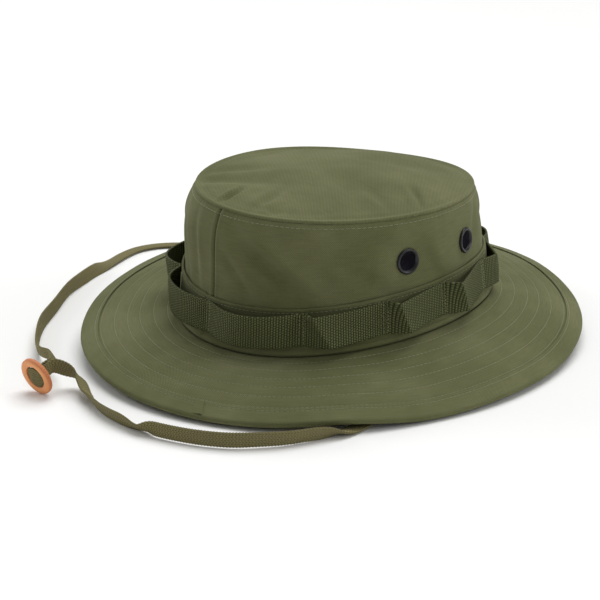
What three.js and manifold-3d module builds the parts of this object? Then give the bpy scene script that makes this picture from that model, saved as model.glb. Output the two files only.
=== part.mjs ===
// A boonie hat: soft cotton crown, stitched brim, webbing foliage loops, screened vents and a braided
// chin strap with a leather slider, standing on its brim. Millimetres, +Z up; the front of the hat
// is at -Y, its back at +Y, and the wearer's right at -X. The origin is on the surface that the hat
// stands on, under the middle of the brim.
import * as THREE from "three";
import { mergeVertices } from "three/addons/utils/BufferGeometryUtils.js";
import Module from "manifold-3d";

const wasm = await Module();
wasm.setup();

// ---- Driving dimensions ----

// Opening for the head, measured over the crown where it joins the brim.
const HEAD_LENGTH = 200;
const HEAD_WIDTH = 169;
const CROWN_RISE = 75;
const CROWN_CLOTH = 1.2;

// Crown tip: the oval on top. It reaches less far forward, because the soft crown leans in there.
const TIP_BACK_REACH = 92;
const TIP_FRONT_REACH = 84;
const TIP_WIDTH = 149;
const TIP_SIDE_SHIFT = -2.6;
const TIP_DOME = 8;
const TIP_CLOTH = 1.2;

// How the soft crown sits: it leans towards one side, sinks at the far front and swells at one shoulder.
const TIP_LEAN = 3.9;
const TIP_LEAN_TOWARDS = 99;
const TIP_SINK = 5;
const TIP_SINK_AT = 210;
const TIP_SINK_SPREAD = 50;
const SHOULDER_SWELL = 5;
const SHOULDER_AT = -45;

// Seam between crown and brim: it dips at the back and in a gentle saddle.
const SEAM_HEIGHT = 25.5;
const SEAM_LEAN = 4;
const SEAM_SADDLE = 2.9;
const SEAM_LEAN_TOWARDS = 16;

// Band of crown cloth round the foot of the crown, and the sweatband inside.
const BAND_RISE = 29.5;
const BAND_CLOTH = 1.2;
const SWEATBAND_RISE = 32;
const SWEATBAND_CLOTH = 1;
const LABEL_WIDTH = 34;
const LABEL_HEIGHT = 20;
const LABEL_CLOTH = 0.5;

// Brim: two plies over an interlining, bound at the edge.
const BRIM_WIDTH = 60;
const BRIM_ARCH = 2;
const PLY = 0.6;
const INTERLINING = 0.4;
const BINDING_WIDTH = 11;
const BINDING_CLOTH = 0.6;

// Height of the brim's edge: flat on the surface at the near side and lifted at the far side, where
// one soft lobe droops back to the surface. It rides up where the strap passes under it.
const EDGE_LIFT = 23;
const EDGE_LOW_AT = 56;
const LOBE_AT = 228;
const LOBE_SPREAD = 22;
const STRAP_LIFT = 3.4;
const STRAP_LIFT_AT = 50;
const STRAP_LIFT_SPREAD = 12;

// Middle of the brim's outline, from the middle of the head opening.
const BRIM_MIDDLE = new THREE.Vector3(2.1, -0.5, 0.1);

// Webbing sewn to the band at tacks, with slack between them for foliage.
const WEBBING_WIDTH = 19;
const WEBBING = 1.6;
const WEBBING_ABOVE_SEAM = 8.5;
const TACK = 3;

// Screened vents.
const VENT_OUTER = 15;
const VENT_BORE = 10;
const VENT_BARREL = 0.7;
const VENT_METAL = 0.8;
const VENT_SCREEN = 0.4;

// Chin strap and its leather slider.
const STRAP_WIDTH = 9;
const STRAP = 2;
const SLIDER_OUTER = 22;
const SLIDER_BORE = 13;
const SLIDER_LEATHER = 3;
const BIGHT_REACH = 4;

// Clearance between pieces that touch, and inside the sewn layers of the brim.
const GAP = 0.3;
const LAYER_GAP = 0.25;

// ---- Places ----

// Tacks of the webbing round the hat, in degrees from the centre back towards the wearer's right. Each
// starts a loop: the crest is where its slack stands out most, as shares of the loop's length
// at the upper and lower edge, and the reaches are how far it stands out there. A creased loop
// breaks sharply at its crest.
const LOOPS = [
  { tack: 0, crest: [0.5, 0.45], reach: [8, 6], creased: false },
  { tack: 38.5, crest: [0.12, 0.33], reach: [8, 7], creased: true },
  { tack: 67.5, crest: [0.12, 0.28], reach: [9, 8], creased: true },
  { tack: 91, crest: [0.18, 0.3], reach: [9, 8], creased: true },
  { tack: 118, crest: [0.3, 0.35], reach: [9, 8], creased: true },
  { tack: 148, crest: [0.5, 0.5], reach: [8, 7], creased: false },
  { tack: 180, crest: [0.7, 0.6], reach: [8, 8], creased: true },
  { tack: 212, crest: [0.5, 0.5], reach: [8, 7], creased: false },
  { tack: 242, crest: [0.3, 0.4], reach: [9, 8], creased: true },
  { tack: 269, crest: [0.5, 0.5], reach: [8, 8], creased: false },
  { tack: 292.5, crest: [0.6, 0.55], reach: [11, 9], creased: false },
  { tack: 323.5, crest: [0.25, 0.3], reach: [10, 8], creased: false },
];

// Vents, in degrees from the centre back, with their height above the brim seam.
const VENTS = [
  { at: 77, rise: 46 },
  { at: 109, rise: 43.5 },
  { at: 251, rise: 43.5 },
  { at: 283, rise: 46 },
];

// Middle of the slider, and the direction in which it slides along the strap, towards the hat.
const SLIDER_MIDDLE = new THREE.Vector3(44, 190, 11.4);
const SLIDER_AXIS = new THREE.Vector3(0.12, -0.96, 0.26).normalize();

// The strap's two runs, from where each leaves the sweatband at the ear to where it passes the slider.
const LEFT_RUN = [
  [80, 0, 25],
  [81, -5, 16],
  [86, -13, 7],
  [97, -24, 2.6],
  [115, -36, 1.6],
  [140, -46, 1.3],
  [168, -52, 1.3],
  [192, -50, 1.3],
  [206, -40, 1.3],
  [214, -27, 1.3],
  [216, -14, 1.3],
  [213, -1, 1.3],
  [207, 13, 1.3],
  [199, 29, 1.3],
  [190, 46, 1.3],
  [181, 62, 1.3],
  [170, 79, 1.3],
  [150, 103, 1.3],
  [132, 125, 1.3],
  [113, 142, 2],
  [96, 154, 5],
  [76, 164, 10],
  [59, 169, 14],
];
const RIGHT_RUN = [
  [-80, 0, 25],
  [-81, 5, 16],
  [-84, 14, 7],
  [-90, 28, 1.8],
  [-98, 46, 1.3],
  [-106, 65, 1.3],
  [-111, 83, 1.3],
  [-113, 98, 1.3],
  [-111, 111, 1.3],
  [-107, 124, 1.3],
  [-102, 136, 1.3],
  [-95, 147, 1.3],
  [-86, 158, 1.3],
  [-74, 167, 1.3],
  [-60, 174, 1.3],
  [-45, 179, 1.3],
  [-28, 182, 1.3],
  [-8, 182, 1.3],
  [9, 178, 2],
  [22, 173, 4.5],
  [35, 169, 8.5],
];
const STRAIGHT_RUN = 12;
const HANGING_SHARE = 0.12;

// ---- Facets ----

const RING_STEPS = 60;
const STRAP_SIDES = 8;
const LEFT_RUN_STEPS = 60;
const RIGHT_RUN_STEPS = 48;
const LOOP_STEPS = 10;
const SLIDER_STEPS = 28;

// ---- Materials ----

const cotton = cloth(0x5d6144);
const cottonInside = cloth(0x4d5039);
const webbingNylon = cloth(0x3f4429);
const braid = cloth(0x6a6546);
const labelCloth = cloth(0xb9b49c);
const blackPaint = new THREE.MeshStandardMaterial({ color: 0x17161a, roughness: 0.4, metalness: 0.7 });
const leather = new THREE.MeshStandardMaterial({ color: 0xc98255, roughness: 0.6, metalness: 0 });

function cloth(color) {
  return new THREE.MeshStandardMaterial({ color, roughness: 0.95, metalness: 0 });
}

// ---- The hat's surfaces ----

const radians = THREE.MathUtils.degToRad;
const lerp = THREE.MathUtils.lerp;

// A smooth hump of height 1 at a place round the hat, in degrees.
function hump(t, at, spread) {
  const turn = 360;
  const away = ((THREE.MathUtils.radToDeg(t) - at) % turn + 1.5 * turn) % turn - turn / 2;
  return Math.exp(-((away / spread) ** 2));
}

function seamHeight(t) {
  const lean = t - radians(SEAM_LEAN_TOWARDS);
  return SEAM_HEIGHT - SEAM_LEAN * Math.cos(lean) - SEAM_SADDLE * Math.cos(2 * lean);
}

function tipHeight(t) {
  const lean = TIP_LEAN * Math.cos(t - radians(TIP_LEAN_TOWARDS));
  return SEAM_HEIGHT + CROWN_RISE - lean - TIP_SINK * hump(t, TIP_SINK_AT, TIP_SINK_SPREAD);
}

function edgeHeight(t) {
  const lift = EDGE_LIFT * Math.abs(Math.sin((t - radians(EDGE_LOW_AT)) / 2)) ** 3;
  const overStrap = STRAP_LIFT * hump(t, STRAP_LIFT_AT, STRAP_LIFT_SPREAD);
  return lift * (1 - hump(t, LOBE_AT, LOBE_SPREAD)) + overStrap;
}

// The way that faces straight out of the crown at its foot.
function outward(t) {
  return new THREE.Vector3(-Math.sin(t) / HEAD_WIDTH, Math.cos(t) / HEAD_LENGTH, 0).normalize();
}

// A point of the tip's outline, as a share of the way out from its middle.
function tipOutline(t, share) {
  const reach = Math.cos(t) > 0 ? TIP_BACK_REACH : TIP_FRONT_REACH;
  const x = TIP_SIDE_SHIFT - (share * TIP_WIDTH * Math.sin(t)) / 2;
  return new THREE.Vector3(x, share * reach * Math.cos(t), tipHeight(t));
}

// A point on the crown's side: its rise above the brim seam, and how far it stands off the cloth.
function wallPoint(t, rise, off) {
  const share = rise / (tipHeight(t) - seamHeight(t));
  const foot = new THREE.Vector3((-HEAD_WIDTH * Math.sin(t)) / 2, (HEAD_LENGTH * Math.cos(t)) / 2, 0);
  const swell = SHOULDER_SWELL * (0.6 + 0.4 * Math.cos(t - radians(SHOULDER_AT)));
  const belly = swell * Math.sin(Math.PI * Math.min(1, Math.max(0, share)) ** 2.5);
  const point = foot.lerp(tipOutline(t, 1).setZ(0), share);
  return point.addScaledVector(outward(t), belly + off).setZ(seamHeight(t) + rise);
}

// A point on the brim: its distance out from the crown, and its height off the brim's underside.
const BRIM_INSIDE = BAND_CLOTH + 2 * GAP;
const STACK = 2 * PLY + INTERLINING + 2 * LAYER_GAP;
function brimPoint(t, out, off) {
  const edge = edgeHeight(t) + BINDING_CLOTH + LAYER_GAP;
  const drop = seamHeight(t) - edge;
  const level = Math.sqrt(BRIM_WIDTH ** 2 - drop ** 2);
  const share = out / BRIM_WIDTH;
  const slope = Math.atan2(drop - BRIM_ARCH * Math.PI * Math.cos(Math.PI * share), level);
  const point = wallPoint(t, 0, BRIM_INSIDE + share * level + off * Math.sin(slope));
  const arch = BRIM_ARCH * Math.sin(Math.PI * share);
  return point.setZ(seamHeight(t) - share * drop + arch + off * Math.cos(slope));
}

// ---- Making solids ----

// Moves every vertex of a closed geometry, joins its shared vertices and turns its faces outwards.
function shaped(geometry, move) {
  geometry.deleteAttribute("normal");
  geometry.deleteAttribute("uv");
  const places = geometry.getAttribute("position");
  const vertex = new THREE.Vector3();
  for (let i = 0; i < places.count; i += 1) {
    const moved = move(vertex.fromBufferAttribute(places, i).clone());
    places.setXYZ(i, moved.x, moved.y, moved.z);
  }
  const merged = mergeVertices(geometry, 1e-3);
  if (volume(merged) < 0) {
    merged.index.array.reverse();
  }
  merged.computeVertexNormals();
  return merged;
}

function volume(geometry) {
  const places = geometry.getAttribute("position");
  const corners = [new THREE.Vector3(), new THREE.Vector3(), new THREE.Vector3()];
  let sum = 0;
  for (let i = 0; i < geometry.index.count; i += 3) {
    corners.forEach((corner, k) => corner.fromBufferAttribute(places, geometry.index.getX(i + k)));
    sum += corners[0].dot(corners[1].cross(corners[2])) / 6;
  }
  return sum;
}

// A ring of a closed profile of [along, off] points, laid all the way round the hat. Layers that lie
// face to face turn opposite ways, so that their bent facets are split along the same diagonals.
function ring(profile, place, turn = 1) {
  const clear = 100;
  const points = [...profile, profile[0]].map(([along, off]) => new THREE.Vector2(clear + along, off));
  const turned = new THREE.LatheGeometry(points, RING_STEPS);
  return shaped(turned, (v) => place(turn * Math.atan2(v.x, v.z), Math.hypot(v.x, v.z) - clear, v.y));
}

// A strip of cloth from one place round the hat to another; share, height and depth run from 0 to 1.
function strip(steps, rows, place) {
  const block = new THREE.BoxGeometry(1, 1, 1, steps, rows, 1);
  return shaped(block, (v) => place(v.x + 0.5, v.y + 0.5, v.z + 0.5));
}

function toManifold(geometry) {
  return new wasm.Manifold(
    new wasm.Mesh({
      numProp: 3,
      vertProperties: geometry.getAttribute("position").array,
      triVerts: new Uint32Array(geometry.index.array),
    }),
  );
}

// The first geometry with each of the others cut out of it.
function cut(geometry, tools) {
  const left = tools.reduce((solid, tool) => solid.subtract(toManifold(tool)), toManifold(geometry));
  const mesh = left.getMesh();
  const result = new THREE.BufferGeometry();
  result.setAttribute("position", new THREE.BufferAttribute(mesh.vertProperties, 3));
  result.setIndex(new THREE.BufferAttribute(mesh.triVerts, 1));
  result.computeVertexNormals();
  return result;
}

// The pieces are laid out round the middle of the head opening, and the origin is under that of the brim.
const hat = new THREE.Group();
const pieces = new THREE.Group();
pieces.position.copy(BRIM_MIDDLE).negate();
hat.add(pieces);

function add(name, geometry, material) {
  const mesh = new THREE.Mesh(geometry, material);
  mesh.name = name;
  pieces.add(mesh);
}

// ---- Crown ----

// The tip is a shallow dome whose edge lies on the top of the side panels.
function crownTip() {
  const rings = [0.35, 0.7, 0.9];
  const top = rings.map((share) => [share, 0]);
  const under = rings.map((share) => [share, -TIP_CLOTH]).reverse();
  const profile = [[0, 0], ...top, [1, 0], [1, -TIP_CLOTH], ...under, [0, -TIP_CLOTH]];
  const points = profile.map(([share, off]) => new THREE.Vector2(share, off));
  const middle = (tipHeight(0) + tipHeight(Math.PI)) / 2;
  return shaped(new THREE.LatheGeometry(points, RING_STEPS), (v) => {
    const share = Math.hypot(v.x, v.z);
    const point = tipOutline(Math.atan2(v.x, v.z), share);
    return point.setZ(lerp(middle, point.z, share ** 2) + TIP_DOME * (1 - share ** 2) + v.y);
  });
}

// One of the two side panels, from its back seam to its front seam, with holes for its vents.
const PANEL_ROWS = 6;
function sidePanel(from, to) {
  const seam = GAP / HEAD_LENGTH;
  const panel = strip(RING_STEPS / 2, PANEL_ROWS, (share, height, depth) => {
    const t = lerp(radians(from) + seam, radians(to) - seam, share);
    const top = tipHeight(t) - seamHeight(t) - TIP_CLOTH - GAP;
    return wallPoint(t, height * top, (depth - 1) * CROWN_CLOTH);
  });
  const holes = VENTS.filter((vent) => vent.at > from && vent.at < to).map(ventHole);
  return cut(panel, holes);
}

const BAND_ROWS = 3;
function hatBand() {
  const stops = Array.from({ length: BAND_ROWS + 1 }, (_, i) => (BAND_RISE * i) / BAND_ROWS);
  const outside = stops.map((rise) => [rise, GAP + BAND_CLOTH]);
  const inside = stops.map((rise) => [rise, GAP]).reverse();
  return ring([...outside, ...inside], wallPoint);
}

// The sweatband is a strip whose ends meet at the back.
function sweatband() {
  const end = GAP / HEAD_LENGTH;
  return strip(RING_STEPS, 2, (share, height, depth) => {
    const t = lerp(end, 2 * Math.PI - end, share);
    return wallPoint(t, height * SWEATBAND_RISE, -CROWN_CLOTH - GAP - (1 - depth) * SWEATBAND_CLOTH);
  });
}

function sizeLabel() {
  const half = LABEL_WIDTH / HEAD_LENGTH;
  const foot = (SWEATBAND_RISE - LABEL_HEIGHT) / 2;
  const front = CROWN_CLOTH + SWEATBAND_CLOTH + 2 * GAP + LABEL_CLOTH;
  return strip(8, 1, (share, height, depth) => {
    const t = Math.PI + lerp(-half, half, share);
    return wallPoint(t, foot + height * LABEL_HEIGHT, depth * LABEL_CLOTH - front);
  });
}

// ---- Brim ----

const BINDING_START = BRIM_WIDTH - BINDING_WIDTH;
const EDGE_INSET = BINDING_CLOTH + LAYER_GAP;

// A layer of the brim, between two heights above its underside.
function brimLayer(low, high, turn) {
  const open = [0, 1 / 3, 2 / 3, 1].map((share) => share * BINDING_START);
  const stops = [...open, BRIM_WIDTH - EDGE_INSET];
  const under = stops.map((along) => [along, low]);
  const over = stops.map((along) => [along, high]).reverse();
  return ring([...under, ...over], brimPoint, turn);
}

// The binding folds over the brim's edge: a U in section, with the layers between its legs.
function brimBinding() {
  const start = BINDING_START;
  const inside = BRIM_WIDTH - BINDING_CLOTH;
  const low = -LAYER_GAP;
  const high = STACK + LAYER_GAP;
  const section = [
    [start, low - BINDING_CLOTH],
    [BRIM_WIDTH, low - BINDING_CLOTH],
    [BRIM_WIDTH, high + BINDING_CLOTH],
    [start, high + BINDING_CLOTH],
    [start, high],
    [inside, high],
    [inside, low],
    [start, low],
  ];
  return ring(section, brimPoint, -1);
}

// ---- Foliage loops ----

// How far the webbing stands off at a share of its length, for a crest at another share.
function standOff(share, crest, creased) {
  const climb = share < crest ? share / crest : (1 - share) / (1 - crest);
  const sharp = creased && share < crest;
  return sharp ? climb : Math.sin((Math.PI / 2) * climb);
}

// One length of webbing between two tacks. A row of corners follows its crest, from edge to edge.
function foliageLoop(loop, next) {
  const from = radians(loop.tack);
  const to = radians(next.tack) + (next.tack < loop.tack ? 2 * Math.PI : 0);
  const radius = (HEAD_LENGTH + HEAD_WIDTH) / 4;
  const end = GAP / radius;
  const pad = TACK / radius / (to - from);
  const slackSteps = LOOP_STEPS - 2;
  const crestStep = Math.max(2, Math.round(slackSteps * Math.max(...loop.crest)));
  return strip(LOOP_STEPS, 2, (share, height, depth) => {
    const step = Math.round(share * LOOP_STEPS) - 1;
    const crest = lerp(loop.crest[1], loop.crest[0], height);
    const before = (crest * step) / crestStep;
    const after = crest + ((1 - crest) * (step - crestStep)) / (slackSteps - crestStep);
    const slack = THREE.MathUtils.clamp(step < crestStep ? before : after, 0, 1);
    const along = step < 0 ? 0 : step > slackSteps ? 1 : lerp(pad, 1 - pad, slack);
    const out = lerp(loop.reach[1], loop.reach[0], height) * standOff(slack, crest, loop.creased);
    const off = 2 * GAP + BAND_CLOTH + out + depth * WEBBING;
    const t = lerp(from + end, to - end, along);
    return wallPoint(t, WEBBING_ABOVE_SEAM + height * WEBBING_WIDTH, off);
  });
}

// ---- Vents ----

const VENT_STEPS = 16;

// The frame of a vent: its middle on the outside of the crown, with +Z facing out.
function ventFrame(vent) {
  const t = radians(vent.at);
  const middle = wallPoint(t, vent.rise, 0);
  const up = wallPoint(t, vent.rise + 1, 0).sub(wallPoint(t, vent.rise - 1, 0)).normalize();
  const side = new THREE.Vector3().crossVectors(up, outward(t)).normalize();
  const out = new THREE.Vector3().crossVectors(side, up);
  return new THREE.Matrix4().makeBasis(side, up, out).setPosition(middle);
}

// A ring or disc turned about a vent's axis, from a closed profile of [radius, height] points.
function ventPiece(vent, profile) {
  const points = profile.map(([radius, height]) => new THREE.Vector2(radius, height));
  const turned = new THREE.LatheGeometry(points, VENT_STEPS).rotateX(Math.PI / 2);
  const frame = ventFrame(vent);
  return shaped(turned, (v) => v.applyMatrix4(frame));
}

const BARREL_OUTER = VENT_BORE / 2 + VENT_BARREL;
function ventHole(vent) {
  const radius = BARREL_OUTER + GAP;
  const reach = 4 * CROWN_CLOTH;
  return ventPiece(vent, [[0, -reach], [radius, -reach], [radius, reach], [0, reach]]);
}

// The outer half: a flange on the cloth and a barrel through it.
const CLOTH_CURVE = 0.4;
function ventFlange(vent) {
  const foot = GAP + CLOTH_CURVE;
  const head = foot + VENT_METAL;
  const inside = -CROWN_CLOTH - 2 * GAP - VENT_METAL;
  return ventPiece(vent, [
    [VENT_BORE / 2, inside],
    [BARREL_OUTER, inside],
    [BARREL_OUTER, foot],
    [VENT_OUTER / 2, foot],
    [VENT_OUTER / 2 - VENT_METAL / 2, head],
    [VENT_BORE / 2, head],
    [VENT_BORE / 2, inside],
  ]);
}

// The inner half: a washer that the barrel is set into.
function ventWasher(vent) {
  const top = -CROWN_CLOTH - GAP - CLOTH_CURVE;
  const foot = top - VENT_METAL;
  const bore = BARREL_OUTER + GAP;
  return ventPiece(vent, [
    [bore, foot],
    [VENT_OUTER / 2, foot],
    [VENT_OUTER / 2, top],
    [bore, top],
    [bore, foot],
  ]);
}

function ventScreen(vent) {
  const radius = VENT_BORE / 2 - GAP;
  return ventPiece(vent, [[0, 0], [radius, 0], [radius, VENT_SCREEN], [0, VENT_SCREEN]]);
}

// ---- Chin strap ----

// The slider's frame: +Z slides towards the hat, +X is level and +Y points up across the leather.
const SLIDER_SIDE = new THREE.Vector3().crossVectors(new THREE.Vector3(0, 0, 1), SLIDER_AXIS).normalize();
const SLIDER_UP = new THREE.Vector3().crossVectors(SLIDER_AXIS, SLIDER_SIDE);
const SLIDER_FRAME = new THREE.Matrix4()
  .makeBasis(SLIDER_SIDE, SLIDER_UP, SLIDER_AXIS)
  .setPosition(SLIDER_MIDDLE);
const RUN_OFFSET = (STRAP + GAP) / 2;
const RUN_END = -SLIDER_LEATHER / 2 - GAP;

// A path for a flat braid: it hangs with its face to the head at the ear and lies flat from there on.
class BraidPath extends THREE.CatmullRomCurve3 {
  computeFrenetFrames(steps) {
    const frames = { tangents: [], normals: [], binormals: [] };
    for (let i = 0; i <= steps; i += 1) {
      const tangent = this.getTangentAt(i / steps);
      const hang = Math.max(0, 1 - i / steps / HANGING_SHARE);
      const face = new THREE.Vector3(3 * hang * Math.sign(this.points[0].x), 0, 1);
      const normal = face.addScaledVector(tangent, -face.dot(tangent)).normalize();
      frames.tangents.push(tangent);
      frames.normals.push(normal);
      frames.binormals.push(new THREE.Vector3().crossVectors(tangent, normal));
    }
    return frames;
  }
}

// One run of the flat braid, ending in a straight stretch through the slider.
function strapRun(points, steps, side) {
  const through = [STRAIGHT_RUN, STRAIGHT_RUN / 2, RUN_END].map((along) =>
    new THREE.Vector3(0, side * RUN_OFFSET, along).applyMatrix4(SLIDER_FRAME),
  );
  const path = new BraidPath([...points.map((p) => new THREE.Vector3(...p)), ...through]);
  const section = new THREE.Shape(
    Array.from({ length: STRAP_SIDES }, (_, i) => {
      const angle = ((i + 0.5) / STRAP_SIDES) * 2 * Math.PI;
      return new THREE.Vector2((STRAP / 2) * Math.cos(angle), (STRAP_WIDTH / 2) * Math.sin(angle));
    }),
  );
  const swept = new THREE.ExtrudeGeometry(section, { steps, extrudePath: path });
  return shaped(swept, (v) => v);
}

// The fold of the braid in front of the slider, where one run turns back into the other.
function strapBight() {
  const outer = STRAP + GAP / 2;
  const inner = GAP / 2;
  const start = RUN_END - GAP;
  const fold = new THREE.Shape();
  fold.moveTo(0, outer);
  fold.lineTo(outer - BIGHT_REACH, outer);
  fold.absarc(outer - BIGHT_REACH, 0, outer, Math.PI / 2, (3 * Math.PI) / 2, false);
  fold.lineTo(0, -outer);
  fold.lineTo(0, -inner);
  fold.lineTo(outer - BIGHT_REACH, -inner);
  fold.lineTo(outer - BIGHT_REACH, inner);
  fold.lineTo(0, inner);
  const width = STRAP_WIDTH - 2 * GAP;
  const folded = new THREE.ExtrudeGeometry(fold, { depth: width, bevelEnabled: false, curveSegments: 8 });
  return shaped(folded, (v) =>
    new THREE.Vector3(v.z - width / 2, v.y, start + v.x).applyMatrix4(SLIDER_FRAME),
  );
}

function strapSlider() {
  const half = SLIDER_LEATHER / 2;
  const profile = [
    [SLIDER_BORE / 2, -half],
    [SLIDER_OUTER / 2, -half],
    [SLIDER_OUTER / 2, half],
    [SLIDER_BORE / 2, half],
    [SLIDER_BORE / 2, -half],
  ];
  const points = profile.map(([radius, height]) => new THREE.Vector2(radius, height));
  const turned = new THREE.LatheGeometry(points, SLIDER_STEPS).rotateX(Math.PI / 2);
  return shaped(turned, (v) => v.applyMatrix4(SLIDER_FRAME));
}

// ---- Assembly ----

add("crown_tip", crownTip(), cotton);
add("side_panel_right", sidePanel(0, 180), cotton);
add("side_panel_left", sidePanel(180, 360), cotton);
add("hat_band", hatBand(), cotton);
add("sweatband", sweatband(), cottonInside);
add("size_label", sizeLabel(), labelCloth);

const INTERLINING_FOOT = PLY + LAYER_GAP;
add("brim_lower_ply", brimLayer(0, PLY, 1), cottonInside);
add("brim_interlining", brimLayer(INTERLINING_FOOT, INTERLINING_FOOT + INTERLINING, -1), labelCloth);
add("brim_upper_ply", brimLayer(STACK - PLY, STACK, 1), cotton);
add("brim_binding", brimBinding(), cotton);

LOOPS.forEach((loop, i) => {
  const name = `foliage_loop_${String(i + 1).padStart(2, "0")}`;
  add(name, foliageLoop(loop, LOOPS[(i + 1) % LOOPS.length]), webbingNylon);
});

VENTS.forEach((vent, i) => {
  add(`vent_flange_${i + 1}`, ventFlange(vent), blackPaint);
  add(`vent_washer_${i + 1}`, ventWasher(vent), blackPaint);
  add(`vent_screen_${i + 1}`, ventScreen(vent), blackPaint);
});

add("chin_strap_left", strapRun(LEFT_RUN, LEFT_RUN_STEPS, 1), braid);
add("chin_strap_right", strapRun(RIGHT_RUN, RIGHT_RUN_STEPS, -1), braid);
add("chin_strap_bight", strapBight(), braid);
add("strap_slider", strapSlider(), leather);

export default hat;
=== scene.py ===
import math

import bmesh
import bpy
from mathutils import Matrix, Vector, noise


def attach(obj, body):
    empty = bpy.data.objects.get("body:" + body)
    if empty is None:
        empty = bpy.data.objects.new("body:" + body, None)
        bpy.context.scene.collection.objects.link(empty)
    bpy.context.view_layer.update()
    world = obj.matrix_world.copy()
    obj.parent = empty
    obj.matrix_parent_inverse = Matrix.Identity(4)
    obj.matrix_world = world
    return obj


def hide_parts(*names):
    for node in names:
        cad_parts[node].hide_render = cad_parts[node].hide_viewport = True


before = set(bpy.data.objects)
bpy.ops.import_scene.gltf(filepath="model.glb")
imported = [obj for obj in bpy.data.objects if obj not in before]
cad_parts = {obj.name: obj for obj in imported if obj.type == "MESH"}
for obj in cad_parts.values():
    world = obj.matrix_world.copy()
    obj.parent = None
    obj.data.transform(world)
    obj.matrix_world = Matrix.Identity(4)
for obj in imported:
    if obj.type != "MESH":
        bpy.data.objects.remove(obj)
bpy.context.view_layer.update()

# A boonie hat: soft cotton crown, stitched brim, webbing foliage loops, screened vents and a braided
# chin strap with a leather slider, standing on its brim. Metres, +Z up; the front of the hat is at -Y,
# its back at +Y and the wearer's right at -X. Places round the hat are turns from the centre back
# towards the wearer's right.

MM = 0.001
TURN = 2 * math.pi

# ---- Sizes, as the frame has them ----

HEAD_LENGTH, HEAD_WIDTH = 200 * MM, 169 * MM
CROWN_RISE, CROWN_CLOTH = 75 * MM, 1.2 * MM
TIP_BACK_REACH, TIP_FRONT_REACH = 92 * MM, 84 * MM
TIP_WIDTH, TIP_SIDE_SHIFT = 149 * MM, -2.6 * MM
TIP_DOME, TIP_CLOTH = 8 * MM, 1.2 * MM
TIP_LEAN, TIP_LEAN_TOWARDS = 3.9 * MM, math.radians(99)
TIP_SINK, TIP_SINK_AT, TIP_SINK_SPREAD = 5 * MM, 210, 50
SHOULDER_SWELL, SHOULDER_AT = 5 * MM, math.radians(-45)
SEAM_HEIGHT, SEAM_LEAN, SEAM_SADDLE = 25.5 * MM, 4 * MM, 2.9 * MM
SEAM_LEAN_TOWARDS = math.radians(16)
BAND_RISE, BAND_CLOTH = 29.5 * MM, 1.2 * MM
SWEATBAND_RISE, SWEATBAND_CLOTH = 32 * MM, 1 * MM
LABEL_WIDTH, LABEL_HEIGHT, LABEL_CLOTH = 34 * MM, 20 * MM, 0.5 * MM
BRIM_WIDTH, BRIM_ARCH = 60 * MM, 2 * MM
PLY, INTERLINING = 0.6 * MM, 0.4 * MM
BINDING_WIDTH, BINDING_CLOTH = 11 * MM, 0.6 * MM
EDGE_LIFT, EDGE_LOW_AT = 23 * MM, math.radians(56)
LOBE_AT, LOBE_SPREAD = 228, 22
STRAP_LIFT, STRAP_LIFT_AT, STRAP_LIFT_SPREAD = 3.4 * MM, 50, 12
BRIM_MIDDLE = Vector((2.1, -0.5, 0.1)) * MM
WEBBING_WIDTH, WEBBING, WEBBING_ABOVE_SEAM = 19 * MM, 1.6 * MM, 8.5 * MM
WEBBING_RIB = 1.75 * MM
SEWN = 1.2 * MM
VENT_OUTER, VENT_BORE, VENT_BARREL = 15 * MM, 10 * MM, 0.7 * MM
STRAP_WIDTH, STRAP = 9 * MM, 2 * MM
SLIDER_OUTER, SLIDER_BORE, SLIDER_LEATHER = 22 * MM, 13 * MM, 3 * MM
GAP, LAYER_GAP = 0.3 * MM, 0.25 * MM
BRIM_INSIDE = BAND_CLOTH + 2 * GAP
STACK = 2 * PLY + INTERLINING + 2 * LAYER_GAP
HEAD_RADIUS = (HEAD_LENGTH + HEAD_WIDTH) / 4

# Each loop of webbing: its tack, then where its slack stands out most at the upper and lower edge as
# shares of its length, how far it stands out there, and whether it breaks in a crease.
LOOPS = [
    (0, (0.5, 0.45), (8, 6), False),
    (38.5, (0.08, 0.33), (8, 7), True),
    (67.5, (0.08, 0.28), (9, 8), True),
    (91, (0.12, 0.28), (9, 8), True),
    (118, (0.3, 0.35), (6, 5.5), True),
    (148, (0.5, 0.5), (8, 7), False),
    (180, (0.7, 0.6), (8, 8), True),
    (212, (0.5, 0.5), (8, 7), False),
    (242, (0.3, 0.4), (9, 8), True),
    (269, (0.5, 0.5), (8, 8), False),
    (292.5, (0.6, 0.55), (11, 9), False),
    (323.5, (0.3, 0.35), (7.5, 6), False),
]
VENTS = [(77, 46 * MM), (109, 43.5 * MM), (251, 43.5 * MM), (283, 46 * MM)]

# ---- Camera ----


def set_camera():
    camera = bpy.data.cameras.new("camera")
    camera.lens = 103
    camera.sensor_width = 36
    camera.clip_start, camera.clip_end = 0.01, 20
    place = Vector((-0.7116, 0.6880, 0.3690))
    target = Vector((0.0056, 0.0237, 0.0260))
    holder = bpy.data.objects.new("camera", camera)
    holder.location = place
    holder.rotation_euler = (target - place).to_track_quat("-Z", "Y").to_euler()
    bpy.context.scene.collection.objects.link(holder)
    bpy.context.scene.camera = holder


set_camera()

# ---- The hat's surfaces ----


def lerp(a, b, share):
    return a + (b - a) * share


def clamp(value, low=0.0, high=1.0):
    return min(high, max(low, value))


def bell(distance, spread):
    """A smooth hump of height 1 at distance 0."""
    return math.exp(-((distance / spread) ** 2))


def hump(t, at, spread):
    """A smooth hump of height 1 at a place round the hat, in degrees."""
    return bell((math.degrees(t) - at + 180) % 360 - 180, spread)


def seam_height(t):
    lean = t - SEAM_LEAN_TOWARDS
    return SEAM_HEIGHT - SEAM_LEAN * math.cos(lean) - SEAM_SADDLE * math.cos(2 * lean)


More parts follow.
